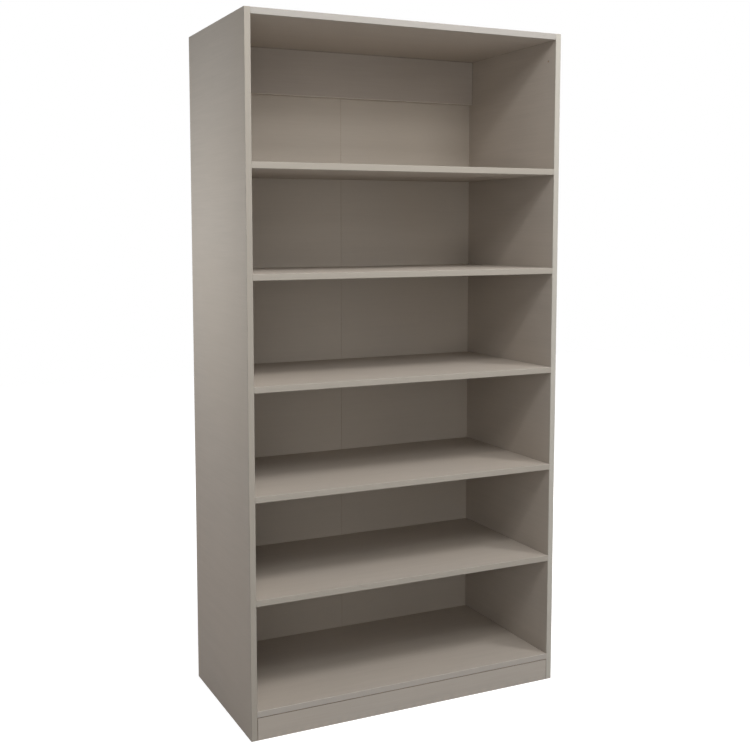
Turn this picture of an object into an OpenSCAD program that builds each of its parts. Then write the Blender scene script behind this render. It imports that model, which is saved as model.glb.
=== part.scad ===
// Closet shelving unit: an open carcass of melamine-faced chipboard, put together with
// cam fittings and dowels. X runs across the front, -Y is the open front, Z is up.
// The origin is on the floor, in the middle of the outer box. All sizes are in millimetres.

/* [Carcass] */
// Overall width across both sides
body_w = 1000; // [800:1:1200]
// Overall depth, front edge bands included
body_d = 480; // [400:1:600]
// Overall height
body_h = 1980; // [1900:1:2300]
// Thickness of every chipboard panel
board_t = 18; // [16:0.5:22]

/* [Compartments] */
// Clear height of the lowest compartment
clear_1 = 296; // [240:1:320]
// Clear height of the second compartment
clear_2 = 270; // [240:1:300]
// Clear height of the third compartment
clear_3 = 282; // [240:1:300]
// Clear height of the fourth compartment
clear_4 = 284; // [240:1:300]
// Clear height of the fifth compartment; the sixth takes what is left under the top
clear_5 = 278; // [240:1:300]

/* [Plinth] */
// Height of the plinth boards under the bottom panel
plinth_h = 65; // [58:1:100]
// Joint gap round the plinth boards
plinth_gap = 0.3; // [0:0.05:0.3]
// Distance from the bottom panel's rear edge to the rear plinth board
plinth_rear_set = 30; // [0:1:80]

/* [Top rail] */
// Height of the stiffening rail under the top, at the back
rail_h = 140; // [110:1:200]

/* [Back] */
// Thickness of the hardboard back
back_t = 3; // [2.5:0.1:5]
// How far the back lies in from the rear edges of the sides
back_recess = 2; // [1:0.1:4]
// Width of the rebate in each side that takes the back
rebate_w = 9; // [7:0.5:10]
// Play between the back's edges and what frames it
back_play = 0.5; // [0.2:0.1:1]
// Gap between the two halves of the folding back
fold_gap = 0.5; // [0.3:0.1:1]
// Width of the hinge tape behind the fold
tape_w = 40; // [30:1:60]
// Thickness of the hinge tape
tape_t = 0.3; // [0.2:0.05:0.5]

/* [Edge bands] */
// Thickness of the plastic edge bands
edge_t = 1; // [0.8:0.1:2]
// Radius rolled on the long edges of each band
edge_r = 0.7; // [0.3:0.1:0.7]

/* [Cam fittings] */
// Diameter of the cam drum
cam_d = 15; // [12:0.5:15]
// Distance from a board's end to the axis of its cam drums
cam_reach = 34; // [30:1:40]
// Depth of a cam's bore past the axis of its bolt
cam_below = 4.6; // [4.4:0.1:5]
// How far a cam drum lies below the board's face
cam_sink = 0.3; // [0.1:0.05:0.5]
// Diameter of a bolt's shank
bolt_d = 7; // [6:0.1:7]
// Diameter of a bolt's neck, behind its head
bolt_neck_d = 4; // [3:0.1:4.5]
// Diameter of a bolt's head
bolt_head_d = 6.6; // [6:0.1:7]
// Diameter of a bolt's threaded end
thread_d = 5; // [4:0.1:5.5]
// Length of a bolt's threaded end
thread_l = 11; // [8:0.5:12]
// Distance from the front and rear edges of a board to its cam fittings
cam_inset = 60; // [50:1:80]
// Spacing of the hole grid: from a cam bolt to the dowel beside it
grid = 32; // [24:1:40]
// Spacing of cam bolt and dowel on the ends of a plinth board
plinth_grid = 24; // [20:1:30]
// Spacing of cam bolt and dowels on the ends of the top rail
rail_grid = 40; // [24:1:45]
// Diameter of the cover caps
cap_d = 18; // [17:0.5:20]
// Thickness of the cover caps
cap_t = 0.8; // [0.6:0.1:1.2]
// Radial clearance of fittings in their bores
fit_gap = 0.1; // [0.05:0.01:0.2]

/* [Dowels] */
// Diameter of the wooden dowels
dowel_d = 8; // [6:0.5:8]
// Length of a dowel in the panel that it stands on
dowel_in = 12; // [9:0.5:12]
// Length of a dowel in the end of the board that it holds
dowel_out = 18; // [15:0.5:22]
// Distance from the end of a plinth board or rail to its first upright dowel
dowel_inset = 120; // [100:1:160]

/* [Back nails] */
// Diameter of a nail's shank
nail_d = 1.6; // [1.2:0.1:2]
// Length of a nail's shank
nail_l = 20; // [16:0.5:22]
// Diameter of a nail's head
nail_head_d = 4; // [3.5:0.1:5]
// Thickness of a nail's head
nail_head_t = 0.6; // [0.4:0.1:0.8]
// Largest spacing of the nails
nail_pitch = 130; // [90:1:180]
// Distance from the ends of a row of nails to the ends of the board
nail_end = 45; // [35:1:60]

/* [System hole] */
// Diameter of the small hole at the top of each side's inner face
hole_d = 5; // [4:0.1:6]
// Depth of that hole
hole_depth = 12; // [8:0.5:13]
// Distance from the front edge to the hole
hole_inset = 37; // [30:1:45]
// Distance from the top of the side to the hole
hole_drop = 76; // [60:1:100]

/* [Hidden] */

$fn = 48;
// Overshoot of cuts past a face
over = 1;

board_colour = [0.60, 0.56, 0.52];
band_colour = [0.72, 0.69, 0.65];
back_colour = [0.56, 0.53, 0.49];
tape_colour = [0.72, 0.66, 0.55];
zinc_colour = [0.70, 0.71, 0.73];
beech_colour = [0.80, 0.66, 0.48];

// Outer box
y_front = -body_d / 2;
y_rear = body_d / 2;
x_out = body_w / 2;

// Inner faces of the sides and the plane that the boards reach back to
x_in = x_out - board_t;
rebate_d = back_t + back_recess;
y_step = y_rear - rebate_d;
y_back = y_rear - back_recess;
y_board = y_front + edge_t;
inner_w = 2 * x_in;

// Undersides of the boards from the floor up
z_bottom = plinth_h;
z_shelf_1 = z_bottom + board_t + clear_1;
z_shelf_2 = z_shelf_1 + board_t + clear_2;
z_shelf_3 = z_shelf_2 + board_t + clear_3;
z_shelf_4 = z_shelf_3 + board_t + clear_4;
z_shelf_5 = z_shelf_4 + board_t + clear_5;
z_top = body_h - board_t;
z_shelves = [z_shelf_1, z_shelf_2, z_shelf_3, z_shelf_4, z_shelf_5];
z_rail = z_top - rail_h;

// Rolls of a fitting about its bolt: which face of its board the cam opens on
opens_up = 0;
opens_down = 180;
opens_front = 90;
opens_rear = -90;

// Fittings of a lying board, whose underside is at height z: each is [y, z, roll]
y_cam_front = y_board + cam_inset;
y_cam_rear = y_step - cam_inset;
function board_cams(z, roll) = [
    for (y = [y_cam_front, y_cam_rear]) [y, z + board_t / 2, roll]
];
function board_dowels(z) = [
    for (y = [y_cam_front + grid, y_cam_rear - grid]) [y, z + board_t / 2, 0]
];

// Fittings of the standing boards: the two plinth boards and the rail
y_plinth_front = y_front + board_t / 2;
y_plinth_rear = y_step - plinth_rear_set - board_t / 2;
z_plinth_cam = (plinth_h - plinth_grid) / 2;
y_rail = y_step - board_t / 2;
z_rail_cam = z_rail + rail_h / 2;
rail_cams = [[y_rail, z_rail_cam, opens_rear]];
rail_dowels = [for (step = [-1, 1]) [y_rail, z_rail_cam + step * rail_grid, 0]];
function plinth_cams(y, roll) = [[y, z_plinth_cam, roll]];
function plinth_dowels(y) = [[y, z_plinth_cam + plinth_grid, 0]];

shelf_cams = [for (z = z_shelves) each board_cams(z, opens_down)];
all_cams = concat(
    board_cams(z_top, opens_up), shelf_cams, board_cams(z_bottom, opens_down),
    rail_cams, plinth_cams(y_plinth_front, opens_rear), plinth_cams(y_plinth_rear, opens_front)
);
end_dowels = concat(
    board_dowels(z_top), [for (z = z_shelves) each board_dowels(z)], board_dowels(z_bottom),
    rail_dowels, plinth_dowels(y_plinth_front), plinth_dowels(y_plinth_rear)
);

// Upright dowels between the rail and the top, and between the plinth boards and the bottom
upright_x = [-(x_in - dowel_inset), 0, x_in - dowel_inset];

// Hole sizes that follow the fittings
cam_bore_r = cam_d / 2 + fit_gap;
cam_bore_depth = board_t / 2 + cam_below;
bolt_play = 0.4;
bolt_bore_r = bolt_d / 2 + bolt_play;

// Cam drum: its wall, how far its chamber lies off centre, and the play round the bolt
cam_h = cam_bore_depth - cam_sink;
cam_wall = 2;
cam_offset = 0.6;
cam_play = 0.3;
chamber_r = cam_d / 2 - cam_wall;
chamber_h = bolt_head_d + 2 * cam_play;
slot_h = bolt_neck_d + 2 * cam_play;

// Driver recess of a drum, and the play of a cap's stub in it
cross_l = 6;
cross_w = 1.2;
cross_depth = 2;
cross_play = 0.4;

// Cam bolt: where its neck and head start, the head's two slopes and its end
collar_gap = 2.5;
bolt_neck_x = cam_reach - cam_d / 2 - collar_gap;
bolt_head_x = cam_reach - cam_offset - chamber_r + fit_gap;
head_slope = (bolt_head_d - bolt_neck_d) / 2;
head_end_x = bolt_head_x + bolt_head_d - head_slope / 2;

dowel_chamfer = 1;

// Nails: heights along the sides, and places across the lying boards
function spread(low, high, pitch) =
    let (count = ceil((high - low) / pitch))
    [for (i = [0 : count]) low + i * (high - low) / count];
function clear_of(values, taken, gap) =
    [for (v = values) if (min([for (t = taken) abs(v - t)]) > gap) v];
nail_keep = dowel_d;
x_nail_side = x_in + rebate_w / 2;
side_nail_z = clear_of(
    spread(z_bottom + nail_end, body_h - nail_end, nail_pitch),
    [for (f = concat(rail_cams, rail_dowels)) f[1]], nail_keep
);
half_nail_x = spread(tape_w, x_in - nail_end, nail_pitch);
row_nail_x = concat([for (x = half_nail_x) -x], half_nail_x);
top_nail_x = clear_of(row_nail_x, upright_x, nail_keep);

// Outline of a band with two rounded corners: width along X, rounded face towards -Y
module rounded_strip(w, t, r) {
    intersection() {
        union() {
            translate([-w / 2 + r, -t]) square([w - 2 * r, t]);
            translate([-w / 2, -t + r]) square([w, t - r]);
            for (side = [-1, 1]) translate([side * (w / 2 - r), -t + r]) circle(r);
        }
        translate([-w / 2, -t]) square([w, t]);
    }
}

// Places its children at each fitting of both sides: the joint plane is local x = 0
module at_ends(fittings) {
    for (side = [0, 1]) mirror([side, 0, 0])
        for (f = fittings) translate([-x_in, f[0], f[1]]) rotate([f[2], 0, 0]) children();
}

// Places its children at each upright dowel of a standing board, joint plane at local z = 0
module at_uprights(y, z) {
    for (x = upright_x) translate([x, y, z]) children();
}

// Lying cone from local x = x0 to x1, and lying cylinder
module cone_x(x0, x1, r0, r1) {
    translate([x0, 0, 0]) rotate([0, 90, 0]) cylinder(h = x1 - x0, r1 = r0, r2 = r1);
}
module bar_x(x0, x1, r) {
    cone_x(x0, x1, r, r);
}

// Bores in the end of a board: cam drum, bolt and dowel
module cam_bore() {
    translate([cam_reach, 0, -cam_below]) cylinder(h = cam_bore_depth + over, r = cam_bore_r);
    bar_x(-over, cam_reach, bolt_bore_r);
}
module dowel_end_bore() {
    bar_x(-over, dowel_out + over, dowel_d / 2 + fit_gap);
}

// Bores in the inner face of a side: thread and dowel
module thread_bore() {
    bar_x(-thread_l - fit_gap, over, thread_d / 2 + fit_gap);
}
module dowel_side_bore() {
    bar_x(-dowel_in - fit_gap, over, dowel_d / 2 + fit_gap);
}

// Bore for an upright dowel, from depth down below the joint to up above it
module upright_bore(down, up) {
    translate([0, 0, -down]) cylinder(h = down + up, r = dowel_d / 2 + fit_gap);
}

// Nail shanks as bores, in one row or column: each spot is [x, z]
module nail_bores(spots) {
    for (s = spots) translate([s[0], y_back + over, s[1]]) rotate([90, 0, 0])
        cylinder(h = nail_l + over + fit_gap, r = nail_d / 2 + fit_gap / 2);
}

// Side panel on the left; the right one is its mirror image
module side_board() {
    difference() {
        translate([-x_out, y_board, 0]) cube([board_t, y_rear - y_board, body_h - edge_t]);
        translate([-x_in - rebate_w, y_step, -over])
            cube([rebate_w + over, rebate_d + over, body_h + 2 * over]);
        for (f = all_cams) translate([-x_in, f[0], f[1]]) thread_bore();
        for (f = end_dowels) translate([-x_in, f[0], f[1]]) dowel_side_bore();
        nail_bores([for (z = side_nail_z) [-x_nail_side, z]]);
        translate([-x_in, y_front + hole_inset, body_h - hole_drop])
            bar_x(-hole_depth, over, hole_d / 2);
    }
}

module side_left() {
    color(board_colour) side_board();
}

module side_right() {
    color(board_colour) mirror([1, 0, 0]) side_board();
}

// Lying board between the sides, underside at height z, with its own fittings' bores
module lying_board(z, roll, nail_x) {
    difference() {
        translate([-x_in, y_board, z]) cube([inner_w, y_step - y_board, board_t]);
        at_ends(board_cams(z, roll)) cam_bore();
        at_ends(board_dowels(z)) dowel_end_bore();
        nail_bores([for (x = nail_x) [x, z + board_t / 2]]);
        children();
    }
}

module top_panel() {
    color(board_colour) lying_board(z_top, opens_up, top_nail_x)
        at_uprights(y_rail, z_top) upright_bore(over, dowel_in + fit_gap);
}

module bottom_panel() {
    color(board_colour) lying_board(z_bottom, opens_down, row_nail_x)
        for (y = [y_plinth_front, y_plinth_rear])
            at_uprights(y, z_bottom) upright_bore(over, dowel_in + fit_gap);
}

module shelf_1() {
    color(board_colour) lying_board(z_shelf_1, opens_down, row_nail_x);
}

module shelf_2() {
    color(board_colour) lying_board(z_shelf_2, opens_down, row_nail_x);
}

module shelf_3() {
    color(board_colour) lying_board(z_shelf_3, opens_down, row_nail_x);
}

module shelf_4() {
    color(board_colour) lying_board(z_shelf_4, opens_down, row_nail_x);
}

module shelf_5() {
    color(board_colour) lying_board(z_shelf_5, opens_down, row_nail_x);
}

// Plinth board centred on y, its cams opening towards the middle of the unit
module plinth_board(y, roll) {
    difference() {
        translate([-x_in + plinth_gap, y - board_t / 2, 0])
            cube([inner_w - 2 * plinth_gap, board_t, plinth_h - plinth_gap]);
        at_ends(plinth_cams(y, roll)) cam_bore();
        at_ends(plinth_dowels(y)) dowel_end_bore();
        at_uprights(y, z_bottom) upright_bore(dowel_out + over, over);
    }
}

module plinth_front() {
    color(board_colour) plinth_board(y_plinth_front, opens_rear);
}

module plinth_rear() {
    color(board_colour) plinth_board(y_plinth_rear, opens_front);
}

module top_rail() {
    color(board_colour) difference() {
        translate([-x_in, y_step - board_t, z_rail + edge_t])
            cube([inner_w, board_t, rail_h - edge_t]);
        at_ends(rail_cams) cam_bore();
        at_ends(rail_dowels) dowel_end_bore();
        at_uprights(y_rail, z_top) upright_bore(dowel_out + over, over);
    }
}

// Left half of the folding back, from the bottom panel's underside nearly to the top
module back_half() {
    half_w = x_in + rebate_w - back_play;
    difference() {
        translate([-half_w, y_step, z_bottom])
            cube([half_w - fold_gap / 2, back_t, body_h - back_play - z_bottom]);
        nail_bores([for (z = side_nail_z) [-x_nail_side, z]]);
        nail_bores([for (x = top_nail_x) [x, z_top + board_t / 2]]);
        for (z = concat([z_bottom], z_shelves))
            nail_bores([for (x = row_nail_x) [x, z + board_t / 2]]);
    }
}

module back_left() {
    color(back_colour) back_half();
}

module back_right() {
    color(back_colour) mirror([1, 0, 0]) back_half();
}

// Hinge tape stuck over the fold, on the rear face of the back
module back_tape() {
    color(tape_colour) translate([-tape_w / 2, y_back, z_bottom])
        cube([tape_w, tape_t, body_h - back_play - z_bottom]);
}

// Edge band on the front of a side, over its full height
module side_band() {
    translate([-x_out + board_t / 2, y_board, 0])
        linear_extrude(body_h) rounded_strip(board_t, edge_t, edge_r);
}

module side_left_edge() {
    color(band_colour) side_band();
}

module side_right_edge() {
    color(band_colour) mirror([1, 0, 0]) side_band();
}

// Edge band on the top end of a side, up to the rebate for the back
module side_top_band() {
    translate([-x_out, y_board, body_h - edge_t]) difference() {
        cube([board_t, y_rear - y_board, edge_t]);
        translate([board_t - rebate_w, y_step - y_board, -over])
            cube([rebate_w + over, rebate_d + over, edge_t + 2 * over]);
    }
}

module side_left_top_edge() {
    color(band_colour) side_top_band();
}

module side_right_top_edge() {
    color(band_colour) mirror([1, 0, 0]) side_top_band();
}

// Edge band on the front of a lying board whose underside is at height z
module board_band(z) {
    translate([-x_in, y_board, z + board_t / 2]) rotate([0, 90, 0])
        linear_extrude(inner_w) rounded_strip(board_t, edge_t, edge_r);
}

module top_edge() {
    color(band_colour) board_band(z_top);
}

module bottom_edge() {
    color(band_colour) board_band(z_bottom);
}

module shelf_1_edge() {
    color(band_colour) board_band(z_shelf_1);
}

module shelf_2_edge() {
    color(band_colour) board_band(z_shelf_2);
}

module shelf_3_edge() {
    color(band_colour) board_band(z_shelf_3);
}

module shelf_4_edge() {
    color(band_colour) board_band(z_shelf_4);
}

module shelf_5_edge() {
    color(band_colour) board_band(z_shelf_5);
}

// Edge band under the rail
module rail_edge() {
    color(band_colour) translate([0, y_rail, z_rail + edge_t]) rotate([0, 90, 0])
        translate([0, 0, -x_in]) linear_extrude(inner_w) rotate(90)
            rounded_strip(board_t, edge_t, edge_r);
}

// Cross-shaped bar from local z = -depth to z = rise: a driver recess, or a cap's stub
module cross(length, width, depth, rise) {
    for (turn = [0, 90]) rotate(turn)
        translate([-length / 2, -width / 2, -depth]) cube([length, width, depth + rise]);
}

// Cam drum: an eccentric chamber that holds the bolt's head, a slot for its neck over half
// the wall, a way in for the head at the slot's end, and a cross recess for the driver
module cam_lock() {
    translate([cam_reach, 0, 0]) difference() {
        translate([0, 0, -cam_below]) cylinder(h = cam_h, r = cam_d / 2);
        translate([-cam_offset, 0, -chamber_h / 2]) cylinder(h = chamber_h, r = chamber_r);
        translate([0, 0, -slot_h / 2]) intersection() {
            cylinder(h = slot_h, r = cam_d);
            translate([-2 * cam_d, -bolt_neck_d, 0]) cube([2 * cam_d, 2 * cam_d, slot_h]);
        }
        rotate([-90, 0, 0]) cylinder(h = cam_d, r = bolt_head_d / 2 + cam_play);
        translate([0, 0, cam_h - cam_below]) cross(cross_l, cross_w, cross_depth, over);
    }
}

module cam_locks() {
    color(zinc_colour) at_ends(all_cams) cam_lock();
}

// Cam bolt: threaded end in the side, shank, neck and turned head inside the drum
module cam_bolt() {
    bar_x(-thread_l, 0, thread_d / 2);
    bar_x(0, bolt_neck_x, bolt_d / 2);
    bar_x(bolt_neck_x, bolt_head_x, bolt_neck_d / 2);
    cone_x(bolt_head_x, bolt_head_x + head_slope, bolt_neck_d / 2, bolt_head_d / 2);
    bar_x(bolt_head_x + head_slope, head_end_x - head_slope, bolt_head_d / 2);
    cone_x(head_end_x - head_slope, head_end_x, bolt_head_d / 2, bolt_neck_d / 2);
}

module cam_bolts() {
    color(zinc_colour) at_ends(all_cams) cam_bolt();
}

// Cover cap pressed into a drum's cross recess, its disc on the board's face
module cam_cap() {
    translate([cam_reach, 0, board_t / 2]) {
        cylinder(h = cap_t, r1 = cap_d / 2, r2 = cap_d / 2 - cap_t / 2);
        cross(cross_l - cross_play, cross_w - 2 * fit_gap, cross_depth + cam_sink - cross_play, cap_t / 2);
    }
}

module cam_caps() {
    color(board_colour) at_ends(shelf_cams) cam_cap();
}

// Dowel with chamfered ends, from local x = x0 to x1
module dowel(x0, x1) {
    end_r = dowel_d / 2 - dowel_chamfer;
    cone_x(x0, x0 + dowel_chamfer, end_r, dowel_d / 2);
    bar_x(x0 + dowel_chamfer, x1 - dowel_chamfer, dowel_d / 2);
    cone_x(x1 - dowel_chamfer, x1, dowel_d / 2, end_r);
}

module wood_dowels() {
    color(beech_colour) {
        at_ends(end_dowels) dowel(-dowel_in, dowel_out);
        at_uprights(y_rail, z_top) rotate([0, -90, 0]) dowel(-dowel_out, dowel_in);
        for (y = [y_plinth_front, y_plinth_rear])
            at_uprights(y, z_bottom) rotate([0, -90, 0]) dowel(-dowel_out, dowel_in);
    }
}

// Nail through the back, its head on the back's rear face
module nail() {
    rotate([90, 0, 0]) cylinder(h = nail_l, r = nail_d / 2);
    rotate([-90, 0, 0]) cylinder(h = nail_head_t, r = nail_head_d / 2);
}

module back_nails() {
    spots = concat(
        [for (side = [-1, 1], z = side_nail_z) [side * x_nail_side, z]],
        [for (x = top_nail_x) [x, z_top + board_t / 2]],
        [for (z = concat([z_bottom], z_shelves), x = row_nail_x) [x, z + board_t / 2]]
    );
    color(zinc_colour) for (s = spots) translate([s[0], y_back, s[1]]) nail();
}

side_left();
side_right();
top_panel();
bottom_panel();
shelf_1();
shelf_2();
shelf_3();
shelf_4();
shelf_5();
plinth_front();
plinth_rear();
top_rail();
back_left();
back_right();
back_tape();
side_left_edge();
side_right_edge();
side_left_top_edge();
side_right_top_edge();
top_edge();
bottom_edge();
shelf_1_edge();
shelf_2_edge();
shelf_3_edge();
shelf_4_edge();
shelf_5_edge();
rail_edge();
cam_locks();
cam_bolts();
cam_caps();
wood_dowels();
back_nails();
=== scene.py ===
"""Dresses the packed closet shelving unit and sets up the photographed view.

Lengths are in metres, apart from those of the fasteners, which are in millimetres as on a drawing.
"""

import logging
import math
from dataclasses import dataclass
from enum import Enum
from typing import Callable, Protocol, Sequence

import bpy
from mathutils import Matrix, Vector


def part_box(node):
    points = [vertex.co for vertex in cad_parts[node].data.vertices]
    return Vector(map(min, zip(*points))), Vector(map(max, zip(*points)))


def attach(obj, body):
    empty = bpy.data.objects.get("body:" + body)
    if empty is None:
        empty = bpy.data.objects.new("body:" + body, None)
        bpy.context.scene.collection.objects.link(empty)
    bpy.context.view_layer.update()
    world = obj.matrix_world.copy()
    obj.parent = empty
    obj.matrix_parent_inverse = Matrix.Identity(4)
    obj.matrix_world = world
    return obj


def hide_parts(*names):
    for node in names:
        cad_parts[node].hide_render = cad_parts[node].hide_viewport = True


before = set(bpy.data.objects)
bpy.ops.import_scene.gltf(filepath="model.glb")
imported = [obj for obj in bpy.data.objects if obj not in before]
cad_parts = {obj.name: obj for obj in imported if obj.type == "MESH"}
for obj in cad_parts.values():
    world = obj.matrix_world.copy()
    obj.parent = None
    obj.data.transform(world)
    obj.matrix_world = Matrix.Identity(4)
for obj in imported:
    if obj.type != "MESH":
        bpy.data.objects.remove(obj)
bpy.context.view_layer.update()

log = logging.getLogger("closet_shelving")

MM = 0.001
DULL = 0.1

Point = tuple[float, float, float]
Colour = tuple[float, float, float]
Ring = tuple[float, float]
Material = bpy.types.Material
Socket = bpy.types.NodeSocket


class Axis(Enum):
    """A direction of the shared frame."""

    X = 0
    Y = 1
    Z = 2


Seam = tuple[Axis, int]
BOTH_ENDS: tuple[Seam, ...] = ((Axis.X, 0), (Axis.X, 1))
NO_SHIFT: Point = (0.0, 0.0, 0.0)


def srgb(red: int, green: int, blue: int) -> Colour:
    """Turns a colour as a screen shows it into the linear values that nodes take.

    Args:
        red: Red from 0 to 255.
        green: Green from 0 to 255.
        blue: Blue from 0 to 255.

    Returns:
        The linear red, green and blue.
    """

    def linear(level: float) -> float:
        """Turns one channel from its screen value into its linear one.

        Args:
            level: The screen value, from 0 to 1.

        Returns:
            The linear value.
        """
        if level <= 0.04045:
            return level / 12.92
        return ((level + 0.055) / 1.055) ** 2.4

    return linear(red / 255), linear(green / 255), linear(blue / 255)


def scaled(colour: Colour, factor: float) -> Colour:
    """Returns a colour made lighter or darker by a factor."""
    return colour[0] * factor, colour[1] * factor, colour[2] * factor


def even(scale: float) -> Point:
    """Returns the same scale for all three axes."""
    return scale, scale, scale


def drawn_out(scale: float, along: float, grain: Axis) -> Point:
    """Finds the scale that draws a texture out along its grain.

    Args:
        scale: The scale across the grain.
        along: The scale along the grain.
        grain: The direction of the grain.

    Returns:
        The scale on each axis.
    """
    scales = [scale] * 3
    scales[grain.value] = along
    return tuple(scales)


class Wire:
    """A socket that takes part in Python expressions by adding Math nodes."""

    def __init__(self, shading: "Shading", socket: Socket) -> None:
        """Wraps a socket.

        Args:
            shading: The node tree that new nodes are added to.
            socket: The output socket that carries the value.
        """
        self.shading = shading
        self.socket = socket

    def _math(self, operation: str, *values: "Wire | float") -> "Wire":
        """Adds one Math node.

        Args:
            operation: The Math node's operation.
            values: Its inputs in order.

        Returns:
            The node's result.
        """
        inputs = dict(enumerate(values))
        node = self.shading.node("ShaderNodeMath", {"operation": operation}, inputs)
        return Wire(self.shading, node.outputs[0])

    def __add__(self, other: "Wire | float") -> "Wire":
        """Returns the sum."""
        return self._math("ADD", self, other)

    def __radd__(self, other: float) -> "Wire":
        """Returns the sum with the number first."""
        return self._math("ADD", other, self)

    def __sub__(self, other: "Wire | float") -> "Wire":
        """Returns the difference."""
        return self._math("SUBTRACT", self, other)

    def __rsub__(self, other: float) -> "Wire":
        """Returns a number less this value."""
        return self._math("SUBTRACT", other, self)

    def __mul__(self, other: "Wire | float") -> "Wire":
        """Returns the product."""
        return self._math("MULTIPLY", self, other)

    def __rmul__(self, other: float) -> "Wire":
        """Returns the product with the number first."""
        return self._math("MULTIPLY", other, self)

    def __truediv__(self, other: "Wire | float") -> "Wire":
        """Returns the quotient."""
        return self._math("DIVIDE", self, other)

    def __rtruediv__(self, other: float) -> "Wire":
        """Returns the quotient with the number first."""
        return self._math("DIVIDE", other, self)

    def __abs__(self) -> "Wire":
        """Returns the size without its sign."""
        return self._math("ABSOLUTE", self)

    def __lt__(self, other: float) -> "Wire":
        """Returns 1 where this value is below a number, and 0 elsewhere."""
        return self._math("LESS_THAN", self, other)

    def least(self, other: "Wire | float") -> "Wire":
        """Returns the smaller of two values."""
        return self._math("MINIMUM", self, other)

    def most(self, other: "Wire | float") -> "Wire":
        """Returns the larger of two values."""
        return self._math("MAXIMUM", self, other)

    def root(self) -> "Wire":
        """Returns the square root."""
        return self._math("SQRT", self)

    def sine(self) -> "Wire":
        """Returns the sine of an angle in radians."""
        return self._math("SINE", self)

    def ramp(self, low: float, high: float) -> "Wire":
        """Rises smoothly from 0 at low to 1 at high, or falls if low is above high.

        Args:
            low: Where the result is 0.
            high: Where the result is 1.

        Returns:
            The smooth step.
        """
        turned = low > high
        first, last = (high, low) if turned else (low, high)
        node = self.shading.node(
            "ShaderNodeMapRange",
            {"interpolation_type": "SMOOTHSTEP"},
            {"Value": self, "From Min": first, "From Max": last},
        )
        step = Wire(self.shading, node.outputs[0])
        return 1.0 - step if turned else step


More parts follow.
